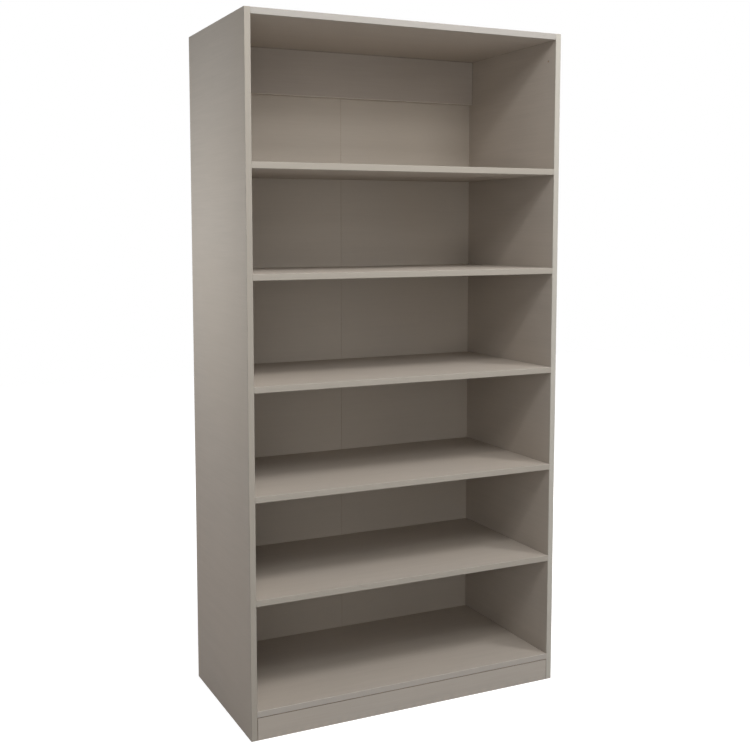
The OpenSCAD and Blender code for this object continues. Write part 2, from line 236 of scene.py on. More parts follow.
class Shading:
    """The node tree of a material, or of the world, while it is being put together."""

    def __init__(self, owner: Material | bpy.types.World) -> None:
        """Starts with an empty node tree.

        Args:
            owner: The new material, or the new world.
        """
        self.owner = owner
        owner.use_nodes = True
        self.tree = owner.node_tree
        self.tree.nodes.clear()

    @classmethod
    def of(cls, name: str) -> "Shading":
        """Starts a material of that name."""
        return cls(bpy.data.materials.new(name))

    def node(
        self,
        kind: str,
        settings: dict[str, object] | None = None,
        inputs: dict[str | int, object] | None = None,
    ) -> bpy.types.Node:
        """Adds a node, sets it, then fills its sockets.

        Args:
            kind: Blender's name for the node type.
            settings: Attributes set before the sockets; stops gives a ramp's (place, colour) pairs.
            inputs: Values, Wires or output sockets by socket name or number.

        Returns:
            The new node.
        """
        node = self.tree.nodes.new(kind)
        for key, value in (settings or {}).items():
            if key == "stops":
                self._set_stops(node, value)
            else:
                setattr(node, key, value)
        for key, value in (inputs or {}).items():
            socket = self._input(node, key)
            if isinstance(value, Wire):
                value = value.socket
            if isinstance(value, Socket):
                self.tree.links.new(value, socket)
            elif socket.type == "RGBA":
                socket.default_value = (*value, 1.0)
            else:
                socket.default_value = value
        return node

    @staticmethod
    def _input(node: bpy.types.Node, key: str | int) -> Socket:
        """Finds an input socket of a node.

        Args:
            node: The node.
            key: The name of an enabled socket, or the number of any.

        Returns:
            The socket.
        """
        if isinstance(key, int):
            return node.inputs[key]
        return next(s for s in node.inputs if s.name == key and s.enabled)

    @staticmethod
    def _set_stops(node: bpy.types.Node, stops: Sequence[tuple[float, Colour]]) -> None:
        """Gives a colour ramp its stops.

        Args:
            node: The Color Ramp node.
            stops: Place from 0 to 1 and colour of each stop, in order.
        """
        elements = node.color_ramp.elements
        while len(elements) < len(stops):
            elements.new(1.0)
        for element, (place, colour) in zip(elements, stops):
            element.position = place
            element.color = (*colour, 1.0)

    def position(self) -> Socket:
        """Returns the place of the point that is shaded, in metres."""
        return self.node("ShaderNodeTexCoord").outputs["Object"]

    def coordinate(self, place: Socket, axis: Axis) -> Wire:
        """Returns one coordinate of a place."""
        split = self.node("ShaderNodeSeparateXYZ", None, {"Vector": place})
        return Wire(self, split.outputs[axis.value])

    def stretched(self, place: Socket, scale: Point, shift: Point) -> Socket:
        """Scales a place along each axis, which stretches the texture that reads it.

        Args:
            place: The place to scale.
            scale: Factor along each axis.
            shift: Added after scaling, so that two textures differ.

        Returns:
            The scaled place.
        """
        return self.node(
            "ShaderNodeVectorMath",
            {"operation": "MULTIPLY_ADD"},
            {0: place, 1: scale, 2: shift},
        ).outputs["Vector"]

    def noise(self, place: Socket, detail: float = 3.0, rough: float = 0.55) -> Wire:
        """Adds a noise that stays between about 0.2 and 0.8.

        Args:
            place: The scaled place that it reads.
            detail: How many finer layers it has.
            rough: How strong each finer layer is.

        Returns:
            The noise.
        """
        node = self.node(
            "ShaderNodeTexNoise",
            {"noise_dimensions": "3D"},
            {"Vector": place, "Scale": 1.0, "Detail": detail, "Roughness": rough},
        )
        return Wire(self, node.outputs[0])

    def mix(self, share: Wire | float, first: object, second: object) -> Socket:
        """Mixes two colours.

        Args:
            share: How much of the second colour shows.
            first: Colour or socket shown at 0.
            second: Colour or socket shown at 1.

        Returns:
            The mixed colour.
        """
        node = self.node(
            "ShaderNodeMix",
            {"data_type": "RGBA"},
            {"Factor": share, "A": first, "B": second},
        )
        return next(s for s in node.outputs if s.type == "RGBA" and s.enabled)

    def varied(self, colour: Colour, wave: Wire, spread: float) -> Socket:
        """Returns a colour that swings by a share of itself as the wave goes from 0.2 to 0.8."""
        dark, light = scaled(colour, 1 - spread), scaled(colour, 1 + spread)
        return self.mix(wave.ramp(0.2, 0.8), dark, light)

    def bump(self, height: Wire, distance: float) -> Socket:
        """Returns the normal that a height in units of distance gives."""
        inputs = {"Height": height, "Distance": distance, "Strength": 1.0}
        return self.node("ShaderNodeBump", None, inputs).outputs["Normal"]

    def surface(self, **inputs: object) -> Material:
        """Ends the material with a Principled shader.

        Args:
            inputs: Values or links by socket name, with underscores for spaces.

        Returns:
            The finished material.
        """
        named = {key.replace("_", " "): value for key, value in inputs.items()}
        shader = self.node("ShaderNodeBsdfPrincipled", None, named)
        self.node("ShaderNodeOutputMaterial", None, {"Surface": shader.outputs["BSDF"]})
        return self.owner

    def backdrop(self, dim: Colour, shown: Colour | Socket) -> Socket:
        """Keeps what the camera sees apart from what lights the scene.

        Args:
            dim: The colour that gives light.
            shown: The colour that the camera, gloss and glass see.

        Returns:
            The colour for each ray.
        """
        path = self.node("ShaderNodeLightPath").outputs
        rays = ("Camera", "Glossy", "Transmission")
        camera, gloss, glass = (Wire(self, path[f"Is {ray} Ray"]) for ray in rays)
        return self.mix(camera.most(gloss).most(glass), dim, shown)


@dataclass(frozen=True)
class Facing:
    """Printed melamine facing with a faint grain: colour, sheen and texture."""

    tint: Colour = srgb(176, 167, 157)
    warmth: Colour = (1.03, 1.005, 0.97)
    streak: float = 0.05
    fine_share: float = 0.55
    cloud: float = 0.35
    cloud_scale: float = 2.3
    rough: float = 0.56
    along: float = 5.0
    across: float = 420.0
    broad_across: float = 50.4
    pore_across: float = 1008.0

    def colour(self, shading: Shading, place: Socket, grain: Axis) -> Socket:
        """Builds the printed grain.

        Args:
            shading: The material being made.
            place: The shaded place.
            grain: The direction that the grain runs in.

        Returns:
            The colour of the print.
        """
        lines = drawn_out(self.across, self.along, grain)
        bands = drawn_out(self.broad_across, self.along, grain)
        fine = shading.noise(shading.stretched(place, lines, (3.1, 7.7, 1.3)))
        broad = shading.noise(shading.stretched(place, bands, (9.4, 2.2, 5.8)))
        wave = fine * self.fine_share + broad * (1 - self.fine_share)
        printed = shading.varied(self.tint, wave, self.streak)
        cloud = shading.noise(shading.stretched(place, even(self.cloud_scale), (1.0, 4.0, 6.0)), 2.0)
        warm = tuple(level * factor for level, factor in zip(self.tint, self.warmth))
        return shading.mix(cloud.ramp(0.35, 0.65) * self.cloud, printed, warm)

    def height(self, shading: Shading, place: Socket, grain: Axis) -> Wire:
        """Returns the height of the pressed pores, from 0 to 1."""
        scale = drawn_out(self.pore_across, self.along, grain)
        return shading.noise(shading.stretched(place, scale, (0.3, 0.9, 2.7)), 2.0).ramp(0.3, 0.6)


@dataclass(frozen=True)
class Chips:
    """Cut edge of the chipboard: coarse chips in the middle, fine ones near the faces."""

    pale: Colour = srgb(196, 166, 124)
    mid: Colour = srgb(168, 134, 94)
    dark: Colour = srgb(112, 84, 56)
    coarse: float = 330.0
    fine: float = 900.0
    rough_scale: float = 528.0
    layers: tuple[float, float] = (0.55, 0.75)

    def colour(self, shading: Shading, place: Socket, depth: Wire) -> Socket:
        """Builds the chips of the three layers.

        Args:
            shading: The material being made.
            place: The shaded place.
            depth: Distance from the middle of the board, from 0 to 1 at its faces.

        Returns:
            The colour of the cut edge.
        """
        coarse = self._layer(shading, place, self.coarse)
        fine = self._layer(shading, place, self.fine)
        return shading.mix(depth.ramp(*self.layers), coarse, fine)

    def _layer(self, shading: Shading, place: Socket, scale: float) -> Socket:
        """Builds one layer of chips.

        Args:
            shading: The material being made.
            place: The shaded place.
            scale: Chips in a metre.

        Returns:
            The colours of the layer.
        """
        spot = shading.stretched(place, even(scale), NO_SHIFT)
        cells = shading.node("ShaderNodeTexVoronoi", None, {"Vector": spot, "Scale": 1.0})
        shade = shading.coordinate(cells.outputs["Color"], Axis.X)
        stops = [(0.0, self.dark), (0.22, self.mid), (0.7, self.pale), (1.0, scaled(self.pale, 1.12))]
        return shading.node("ShaderNodeValToRGB", {"stops": stops}, {0: shade}).outputs[0]

    def height(self, shading: Shading, place: Socket) -> Wire:
        """Returns the rough height of the cut chips."""
        return shading.noise(shading.stretched(place, even(self.rough_scale), (5.0, 5.0, 5.0)), 4.0)


@dataclass(frozen=True)
class FacedBoard:
    """Chipboard with a melamine facing on its two broad faces and bare cut edges."""

    facing: Facing = Facing()
    chips: Chips = Chips()
    skin: float = 0.25 * MM
    # Width and tint of the painted shade in the joints where the board meets another.
    joint_shade_width: float = 1.5 * MM
    joint_shade_tint: Colour = srgb(62, 56, 50)
    cut_rough: float = 0.85
    sheen_scale: float = 14.0
    sheen_spread: float = 0.08
    pore_depth: float = 0.12
    relief: float = 0.3 * MM

    def material(
        self,
        node: str,
        across: Axis,
        grain: Axis,
        seams: Sequence[Seam] = (),
    ) -> Material:
        """Makes the finish of one board.

        Args:
            node: The board's CAD node.
            across: The axis square to the board's broad faces.
            grain: The direction of the printed grain.
            seams: The ends where the board meets another, which get a dark hairline of painted shade.

        Returns:
            The board's material.
        """
        shading = Shading.of(f"board.{node}")
        place = shading.position()
        low, high = span_of(node, across)
        half = (high - low) / 2
        depth = abs(shading.coordinate(place, across) - (low + high) / 2) / half
        faced = 1.0 - (depth < 1 - self.skin / half)
        chips = self.chips.colour(shading, place, depth)
        printed = self.facing.colour(shading, place, grain)
        # A dark hairline is painted at each of these ends: painted shade of the joint between boards.
        for axis, end in seams:
            gap = abs(shading.coordinate(place, axis) - span_of(node, axis)[end])
            printed = shading.mix(gap.ramp(self.joint_shade_width, 0.0), printed, self.joint_shade_tint)
        colour = shading.mix(faced, chips, printed)
        sheen = shading.noise(shading.stretched(place, even(self.sheen_scale), (0.0, 2.0, 8.0)))
        rough = faced * (self.facing.rough - self.cut_rough) + self.cut_rough
        pores = self.facing.height(shading, place, grain) * self.pore_depth
        height = faced * pores + (1.0 - faced) * self.chips.height(shading, place)
        return shading.surface(
            Base_Color=colour,
            Roughness=rough + (sheen - 0.5) * self.sheen_spread,
            Normal=shading.bump(height, self.relief),
            Specular_IOR_Level=DULL,
        )


@dataclass(frozen=True)
class EdgeBand:
    """Plastic edge band in the board's colour, with rounded long edges and a painted highlight along
    one of them, patchy where scuffed.
    """

    tint: Colour = srgb(159, 152, 142)
    # The lighter tint of the painted highlight along one long edge.
    highlight_tint: Colour = srgb(179, 172, 162)
    rough: float = 0.46
    rough_spread: float = 0.1
    rubbed: float = 0.08
    streak: float = 0.03
    streak_depth: float = 0.04 * MM
    along: float = 9.0
    across: float = 700.0
    scuff_scale: float = 60.0
    highlight_width: float = 1.3 * MM
    radius: float = 1.6 * MM

    def material(
        self,
        name: str,
        along: Axis,
        across: Axis,
        span: tuple[float, float],
    ) -> Material:
        """Makes the finish of one band.

        Args:
            name: The material's name.
            along: The direction that the band runs in.
            across: The direction of its width.
            span: Where its two long edges lie on that axis.

        Returns:
            The band's material.
        """
        shading = Shading.of(name)
        place = shading.position()
        lines = drawn_out(self.across, self.along, along)
        streaks = shading.noise(shading.stretched(place, lines, (2.0, 6.0, 1.0)))
        colour = shading.varied(self.tint, streaks, self.streak)
        level = shading.coordinate(place, across)
        far = abs(level - span[1])
        gap = abs(level - span[0]).least(far)
        scuffs = shading.noise(shading.stretched(place, even(self.scuff_scale), (4.0, 1.0, 7.0)), 5.0)
        # A lighter line along one long edge: a painted highlight of the rounded edge, made patchy by
        # the scuffs.
        highlight_and_wear = far.ramp(self.highlight_width, 0.0) * (scuffs.ramp(0.4, 0.65) * 0.5 + 0.5)
        colour = shading.mix(highlight_and_wear, colour, self.highlight_tint)
        rough = (streaks - 0.5) * self.rough_spread + self.rough + highlight_and_wear * self.rubbed
        turned = (self.radius - gap).most(0.0)
        height = streaks * self.streak_depth - turned * turned / (2 * self.radius)
        return shading.surface(
            Base_Color=colour,
            Roughness=rough,
            Normal=shading.bump(height, 1.0),
            Specular_IOR_Level=DULL,
        )


@dataclass(frozen=True)
class Hardboard:
    """Thin fibreboard, printed on its front face and raw with a mesh mark on its rear."""

    facing: Facing = Facing(tint=srgb(178, 169, 158), streak=0.03, rough=0.55)
    raw: Colour = srgb(146, 110, 74)
    pale: Colour = srgb(176, 140, 100)
    dark: Colour = srgb(104, 76, 50)
    raw_rough: float = 0.82
    rough_spread: float = 0.08
    fibre_scale: float = 420.0
    cloud_scale: float = 6.0
    pore_depth: float = 0.1
    fibre_depth: float = 0.3
    mesh_depth: float = 0.7
    pit_darkening: float = 0.35
    relief: float = 0.25 * MM
    pitch: float = 1.9 * MM
    skin: float = 0.2 * MM

    def material(self, name: str, front: float) -> Material:
        """Makes the finish of a half of the back.

        Args:
            name: The material's name.
            front: Where the printed face lies on the Y axis.

        Returns:
            The material.
        """
        shading = Shading.of(name)
        place = shading.position()
        printed = shading.coordinate(place, Axis.Y) < front + self.skin
        mesh = self._mesh_mark(shading, place)
        fibres = shading.noise(shading.stretched(place, even(self.fibre_scale), NO_SHIFT), 6.0, 0.7)
        cloud = shading.noise(shading.stretched(place, even(self.cloud_scale), NO_SHIFT))
        brown = shading.mix(fibres.ramp(0.3, 0.7), self.dark, self.pale)
        brown = shading.mix(cloud.ramp(0.3, 0.7) * 0.5 + 0.25, brown, self.raw)
        # The mesh pits are darker.
        brown = shading.mix(mesh * self.pit_darkening, brown, self.dark)
        colour = shading.mix(printed, brown, self.facing.colour(shading, place, Axis.X))
        pores = self.facing.height(shading, place, Axis.X) * self.pore_depth
        marks = fibres * self.fibre_depth - mesh * self.mesh_depth
        height = printed * pores + (1.0 - printed) * marks
        rough = printed * (self.facing.rough - self.raw_rough) + self.raw_rough
        return shading.surface(
            Base_Color=colour,
            Roughness=rough + (cloud - 0.5) * self.rough_spread,
            Normal=shading.bump(height, self.relief),
            Specular_IOR_Level=DULL,
        )

    def _mesh_mark(self, shading: Shading, place: Socket) -> Wire:
        """Marks the pits that the press's wire mesh leaves.

        Args:
            shading: The material being made.
            place: The shaded place.

        Returns:
            1 in the pits, 0 between them.
        """
        marks = []
        for axis in (Axis.X, Axis.Z):
            turn = shading.coordinate(place, axis) * (2 * math.pi / self.pitch)
            marks.append(turn.sine())
        return (marks[0] * marks[1]).ramp(0.1, 0.8)


@dataclass(frozen=True)
class Plain:
    """Plastic, paper, wood or metal of one colour with fine variation."""

    tint: Colour
    rough: float
    metal: float = 0.0
    spread: float = 0.08
    grain: Point = even(300.0)
    broad_scale: float = 35.0
    bump_depth: float = 0.05 * MM
    stain: Colour | None = None

    def material(self, name: str) -> Material:
        """Makes the finish.

        Args:
            name: The material's name.

        Returns:
            The material.
        """
        shading = Shading.of(name)
        place = shading.position()
        fine = shading.noise(shading.stretched(place, self.grain, NO_SHIFT), 4.0)
        broad = shading.noise(shading.stretched(place, even(self.broad_scale), (3.0, 3.0, 3.0)))
        colour = shading.varied(self.tint, fine, self.spread)
        if self.stain is not None:
            colour = shading.mix(broad.ramp(0.5, 0.75) * 0.5, colour, self.stain)
        return shading.surface(
            Base_Color=colour,
            Metallic=self.metal,
            Roughness=(fine - 0.5) * 0.16 + (broad - 0.5) * 0.12 + self.rough,
            Normal=shading.bump(fine, self.bump_depth),
        )


# The plinth and the rail get darker copies of the board's tint, as painted shade, and some bands get
# lighter copies of the band's tint, as painted light.
BOARD = FacedBoard()
PLINTH_SHADED_BOARD = FacedBoard(Facing(tint=srgb(169, 161, 152)))
RAIL_SHADED_BOARD = FacedBoard(Facing(tint=srgb(165, 156, 147)))
BAND = EdgeBand()
TOP_LIT_BAND = EdgeBand(tint=srgb(164, 159, 153), highlight_tint=srgb(184, 178, 172))
BOTTOM_LIT_BAND = EdgeBand(tint=srgb(168, 161, 153), highlight_tint=srgb(197, 189, 181))
RIGHT_LIT_BAND = EdgeBand(tint=srgb(176, 171, 162), highlight_tint=srgb(192, 187, 178))
# The band on the rail's underside is much lighter still: painted light on a face that looks down into
# shade.
RAIL_UNDERSIDE_LIT_BAND = EdgeBand(tint=srgb(202, 194, 184), highlight_tint=srgb(210, 203, 193))
HARDBOARD = Hardboard()
TAPE = Plain(
    srgb(188, 172, 142), 0.75, spread=0.1, grain=(900.0, 900.0, 240.0), bump_depth=0.1 * MM
)
ZINC = Plain(srgb(176, 178, 182), 0.38, metal=1.0, stain=srgb(128, 128, 130))
BOLT = Plain(
    srgb(198, 196, 190), 0.28, metal=1.0, grain=(120.0, 900.0, 900.0), stain=srgb(150, 146, 138)
)
CAP = Plain(srgb(168, 160, 150), 0.46, spread=0.04)
BEECH = Plain(
    srgb(206, 170, 128), 0.6, spread=0.14, grain=(60.0, 800.0, 800.0), stain=srgb(180, 140, 100)
)
NAIL = Plain(srgb(170, 170, 170), 0.34, metal=1.0, spread=0.12, stain=srgb(120, 112, 104))


def dress(node: str, material: Material) -> None:
    """Gives a CAD node its finish and reports it.

    Args:
        node: The node's name.
        material: The finish for all its faces.
    """
    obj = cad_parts[node]
    obj.data.materials.clear()
    obj.data.materials.append(material)
    log.info("piece %s: %s", node, material.name)


def span_of(node: str, axis: Axis) -> tuple[float, float]:
    """Returns the lowest and highest coordinate of a node along an axis."""
    low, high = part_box(node)
    return low[axis.value], high[axis.value]


@dataclass
class Side:
    """A full-height side with the bands on its front edge and upper end."""

    name: str
    finish: FacedBoard = BOARD
    band: EdgeBand = BAND

    def dress(self) -> None:
        """Dresses the panel and its two bands."""
        dress(self.name, self.finish.material(self.name, Axis.X, Axis.Y))
        edge = f"{self.name}_edge"
        dress(edge, self.band.material(f"band.{edge}", Axis.Z, Axis.X, span_of(edge, Axis.X)))
        top = f"{self.name}_top_edge"
        dress(top, self.band.material(f"band.{top}", Axis.Y, Axis.X, span_of(top, Axis.X)))


@dataclass
class LyingBoard:
    """A board between the sides, with the band on its front edge."""

    name: str
    edge: str
    finish: FacedBoard = BOARD
    band: EdgeBand = BAND

    def dress(self) -> None:
        """Dresses the board and its band."""
        dress(self.name, self.finish.material(self.name, Axis.Z, Axis.X, BOTH_ENDS))
        width = span_of(self.edge, Axis.Z)
        dress(self.edge, self.band.material(f"band.{self.edge}", Axis.X, Axis.Z, width))


@dataclass
class StandingBoard:
    """A plinth board or the rail, whose broad faces look to the front and rear."""

    name: str
    edge: str | None = None
    finish: FacedBoard = BOARD
    band: EdgeBand = BAND

    def dress(self) -> None:
        """Dresses the board, and its band if it has one."""
        seams = (*BOTH_ENDS, (Axis.Z, 1))
        dress(self.name, self.finish.material(self.name, Axis.Y, Axis.X, seams))
        if self.edge is not None:
            width = span_of(self.edge, Axis.Y)
            dress(self.edge, self.band.material(f"band.{self.edge}", Axis.X, Axis.Y, width))


@dataclass
class FoldingBack:
    """The two halves of the back and their hinge tape."""

    halves: tuple[str, str] = ("back_left", "back_right")
    tape: str = "back_tape"
    finish: Hardboard = HARDBOARD

    def dress(self) -> None:
        """Dresses the halves and the tape."""
        for half in self.halves:
            front, _ = span_of(half, Axis.Y)
            dress(half, self.finish.material(f"hardboard.{half}", front))
        dress(self.tape, TAPE.material("hinge_tape"))


@dataclass(frozen=True)
class Block:
    """The box round one solid of a node."""

    low: Vector
    high: Vector

    def centre(self) -> Vector:
        """Returns the middle of the box."""
        return (self.low + self.high) / 2

    def long_axis(self) -> Axis:
        """Returns the axis that the box is longest on."""
        size = self.high - self.low
        return max(Axis, key=lambda axis: size[axis.value])


def solids(node: str) -> list[Block]:
    """Finds the separate solids of a CAD node.

    Args:
        node: The node's name.

    Returns:
        The box of each solid.
    """
    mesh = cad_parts[node].data
    spots: dict[Point, int] = {}
    index = []
    for vertex in mesh.vertices:
        key = tuple(round(c, 6) for c in vertex.co)
        index.append(spots.setdefault(key, len(spots)))
    parent = list(range(len(spots)))

    def root(i: int) -> int:
        """Finds the group that a point belongs to.

        Args:
            i: The point's number.

        Returns:
            The number of the group's first point.
        """
        while parent[i] != i:
            parent[i] = parent[parent[i]]
            i = parent[i]
        return i

    for face in mesh.polygons:
        first, *rest = (index[v] for v in face.vertices)
        for other in rest:
            parent[root(other)] = root(first)
    groups: dict[int, list[Point]] = {}
    for key, i in spots.items():
        groups.setdefault(root(i), []).append(key)
    return [
        Block(Vector(map(min, zip(*points))), Vector(map(max, zip(*points))))
        for points in groups.values()
    ]


def axes_at(place: Vector, along: Vector, up: Vector) -> Matrix:
    """Sets up the local axes that a fastener is built in.

    Args:
        place: Their origin.
        along: The direction that X runs in.
        up: The direction that Z leans to.

    Returns:
        The matrix from local to shared coordinates.
    """
    x = along.normalized()
    y = up.cross(x).normalized()
    z = x.cross(y)
    turn = Matrix((x, y, z)).transposed().to_4x4()
    return Matrix.Translation(place) @ turn


Swell = Callable[[float, float], float]
SHARP_ANGLE = math.radians(34)


class Shell:
    """Points and faces of a piece while it is being put together, in millimetres."""

    def __init__(self) -> None:
        """Starts with nothing."""
        self.points: list[Vector] = []
        self.faces: list[tuple[int, ...]] = []

    def turned(
        self,
        place: Matrix,
        rings: Sequence[Ring],
        sides: int,
        swell: Swell | None = None,
    ) -> None:
        """Adds a closed body turned about the local X axis.

        Args:
            place: Where the body goes, in metres.
            rings: Place along the axis and radius of each ring, from one end to the other.
            sides: How many sides the body has.
            swell: Added to the radius at a place along the axis and an angle.
        """
        first = len(self.points)
        for along, radius in rings:
            for j in range(sides):
                angle = 2 * math.pi * j / sides
                r = radius + (swell(along, angle) if swell else 0.0)
                spot = Vector((along, r * math.cos(angle), r * math.sin(angle)))
                self.points.append(place @ (spot * MM))
        for i in range(len(rings) - 1):
            for j in range(sides):
                a = first + i * sides + j
                b = first + i * sides + (j + 1) % sides
                self.faces.append((a, b, b + sides, a + sides))
        self._lid(place, rings[0][0], first, sides, True)
        self._lid(place, rings[-1][0], first + (len(rings) - 1) * sides, sides, False)

    def _lid(self, place: Matrix, along: float, first: int, sides: int, start: bool) -> None:
        """Closes one end with triangles round a middle point.

        Args:
            place: Where the body goes, in metres.
            along: Place of the end along the axis.
            first: Number of the first point of its ring.
            sides: How many points the ring has.
            start: Whether it is the end that the body starts with.
        """
        middle = len(self.points)
        self.points.append(place @ Vector((along * MM, 0.0, 0.0)))
        for j in range(sides):
            a, b = first + j, first + (j + 1) % sides
            self.faces.append((middle, b, a) if start else (middle, a, b))

    def prism(
        self,
        place: Matrix,
        outline: Sequence[tuple[float, float]],
        low: float,
        high: float,
    ) -> None:
        """Adds an upright outline pushed along the local X axis.

        Args:
            place: Where the body goes, in metres.
            outline: Corners in the local YZ plane, anticlockwise seen from +X.
            low: Where it starts along X.
            high: Where it ends along X.
        """
        first = len(self.points)
        count = len(outline)
        for along in (low, high):
            for y, z in outline:
                self.points.append(place @ (Vector((along, y, z)) * MM))
        for j in range(count):
            a, b = first + j, first + (j + 1) % count
            self.faces.append((a, b, b + count, a + count))
        self.faces.append(tuple(range(first + count - 1, first - 1, -1)))
        self.faces.append(tuple(range(first + count, first + 2 * count)))

    def piece(self, name: str, slot: str, material: Material) -> bpy.types.Object:
        """Turns the shell into an object that rides on the unit.

        Args:
            name: The piece's name.
            slot: The record's material slot; it is not used.
            material: Its finish.

        Returns:
            The new object.
        """
        mesh = bpy.data.meshes.new(name)
        mesh.from_pydata(self.points, [], self.faces)
        for face in mesh.polygons:
            face.use_smooth = True
        mesh.set_sharp_from_angle(angle=SHARP_ANGLE)
        mesh.materials.append(material)
        obj = bpy.data.objects.new(name, mesh)
        bpy.context.scene.collection.objects.link(obj)
        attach(obj, "root")
        log.info("piece %s: %d faces", name, len(self.faces))
        return obj


@dataclass
class CamBolts:
    """Cam bolts with a cut thread, a plain shank, a thin neck and a turned head.

    The shank, neck and head are each given by where they end and by their radius, in millimetres
    from the side's face.
    """

    node: str = "cam_bolts"
    thread: float = 11.0
    crest: float = 2.5
    root: float = 1.9
    pitch: float = 2.2
    turn_steps: int = 8
    runout: float = 0.5
    tip: float = 0.6
    shank: tuple[float, float] = (24.0, 3.5)
    shank_bevels: tuple[float, float] = (0.3, 0.4)
    neck: tuple[float, float] = (28.0, 2.0)
    head: tuple[float, float] = (33.95, 3.3)
    slope: float = 1.3
    sides: int = 24

    def rings(self) -> list[Ring]:
        """Draws the bolt's outline.

        Returns:
            The rings from the thread's tip to the head's end.
        """
        steps = int(self.thread / self.pitch * self.turn_steps)
        cut = [(-self.thread + self.thread * i / steps, self.root) for i in range(steps)]
        cut[0] = (-self.thread, self.root * self.tip)
        near, far = self.shank_bevels
        shank, thick = self.shank
        neck, thin = self.neck
        end, wide = self.head
        return cut + [
            (-0.02, self.root),
            (0.0, thick - near),
            (near, thick),
            (shank - far, thick),
            (shank, thick - 0.5),
            (shank + 0.01, thin),
            (neck, thin),
            (neck + self.slope, wide),
            (end - self.slope, wide),
            (end - 0.3, wide - 0.9),
            (end, wide - self.slope),
        ]

    def ridge(self, along: float, angle: float) -> float:
        """Shapes the thread, which runs out towards both its ends.

        Args:
            along: Place along the axis.
            angle: Angle about the axis.

        Returns:
            The thread's height over its root.
        """
        if not -self.thread + self.runout < along < -self.runout:
            return 0.0
        turn = (along / self.pitch - angle / (2 * math.pi)) % 1.0
        return (self.crest - self.root) * max(0.0, 1 - abs(turn - 0.5) * 4)

    def dress(self) -> None:
        """Builds the bolts in the place of the CAD node."""
        shell = Shell()
        for solid in solids(self.node):
            middle = solid.centre()
            inward = Vector((-math.copysign(1, middle.x), 0, 0))
            outer = solid.low.x if middle.x < 0 else solid.high.x
            joint = Vector((outer, middle.y, middle.z)) + inward * self.thread * MM
            place = axes_at(joint, inward, Vector((0, 0, 1)))
            shell.turned(place, self.rings(), self.sides, self.ridge)
        piece = shell.piece("cam_bolts_turned", "bolt_steel", BOLT.material("bolt_steel"))
        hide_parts(self.node)


@dataclass
class Dowels:
    """Beech dowels with pressed flutes and chamfered ends, in millimetres."""

    node: str = "wood_dowels"
    radius: float = 4.0
    chamfer: float = 1.0
    flutes: int = 16
    flute_sides: int = 4
    flute_depth: float = 0.22

    def flute(self, along: float, angle: float) -> float:
        """Returns how far a flute cuts in at an angle."""
        wave = math.cos(angle * self.flutes)
        return -self.flute_depth * max(0.0, wave)

    def dress(self) -> None:
        """Builds the dowels in the place of the CAD node."""
        shell = Shell()
        for solid in solids(self.node):
            axis = solid.long_axis()
            along = Vector([float(a is axis) for a in Axis])
            half = (solid.high - solid.low)[axis.value] / 2 / MM
            small = self.radius - self.chamfer
            rings = [
                (-half, small),
                (-half + self.chamfer, self.radius),
                (half - self.chamfer, self.radius),
                (half, small),
            ]
            place = axes_at(solid.centre(), along, Vector((0, 1, 0)))
            shell.turned(place, rings, self.flutes * self.flute_sides, self.flute)
        piece = shell.piece("wood_dowels_fluted", "beech", BEECH.material("beech"))
        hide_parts(self.node)


@dataclass
class Nails:
    """Nails with a slightly domed head, grip rings under it and a point, in millimetres."""

    node: str = "back_nails"
    head: tuple[float, float] = (0.6, 2.0)
    shank: tuple[float, float] = (20.0, 0.8)
    point: float = 2.4
    tip: float = 0.05
    grips: int = 5
    grip_start: float = -6.0
    grip_pitch: float = 0.9
    grip_width: float = 0.4
    grip_waist: float = 0.88
    dome: tuple[Ring, ...] = ((0.45, 1.0), (0.75, 0.93), (0.93, 0.7), (1.0, 0.3))
    sides: int = 16

    def rings(self) -> list[Ring]:
        """Draws the nail's outline.

        Returns:
            The rings from the point to the top of the head.
        """
        length, radius = self.shank
        high, wide = self.head
        rings = [(-length, self.tip), (-length + self.point, radius)]
        for i in range(self.grips):
            start = self.grip_start + i * self.grip_pitch
            waist = (start + self.grip_width / 2, radius * self.grip_waist)
            rings += [(start, radius), waist, (start + self.grip_width, radius)]
        rings += [(-0.01, radius), (0.0, wide)]
        return rings + [(high * level, wide * reach) for level, reach in self.dome]

    def dress(self) -> None:
        """Builds the nails in the place of the CAD node."""
        shell = Shell()
        rear = Vector((0, 1, 0))
        for solid in solids(self.node):
            middle = solid.centre()
            seat = Vector((middle.x, solid.high.y - self.head[0] * MM, middle.z))
            shell.turned(axes_at(seat, rear, Vector((0, 0, 1))), self.rings(), self.sides)
        piece = shell.piece("back_nails_driven", "nail_steel", NAIL.material("nail_steel"))
        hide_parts(self.node)


def cross_outline(reach: float, half: float) -> list[tuple[float, float]]:
    """Returns the corners of an upright cross, anticlockwise.

    Args:
        reach: From the middle to the end of an arm.
        half: Half an arm's width.

    Returns:
        The twelve corners.
    """
    arm = [(reach, -half), (reach, half), (half, half)]
    corners = []
    for _ in range(4):
        corners += arm
        arm = [(-y, x) for x, y in arm]
    return corners


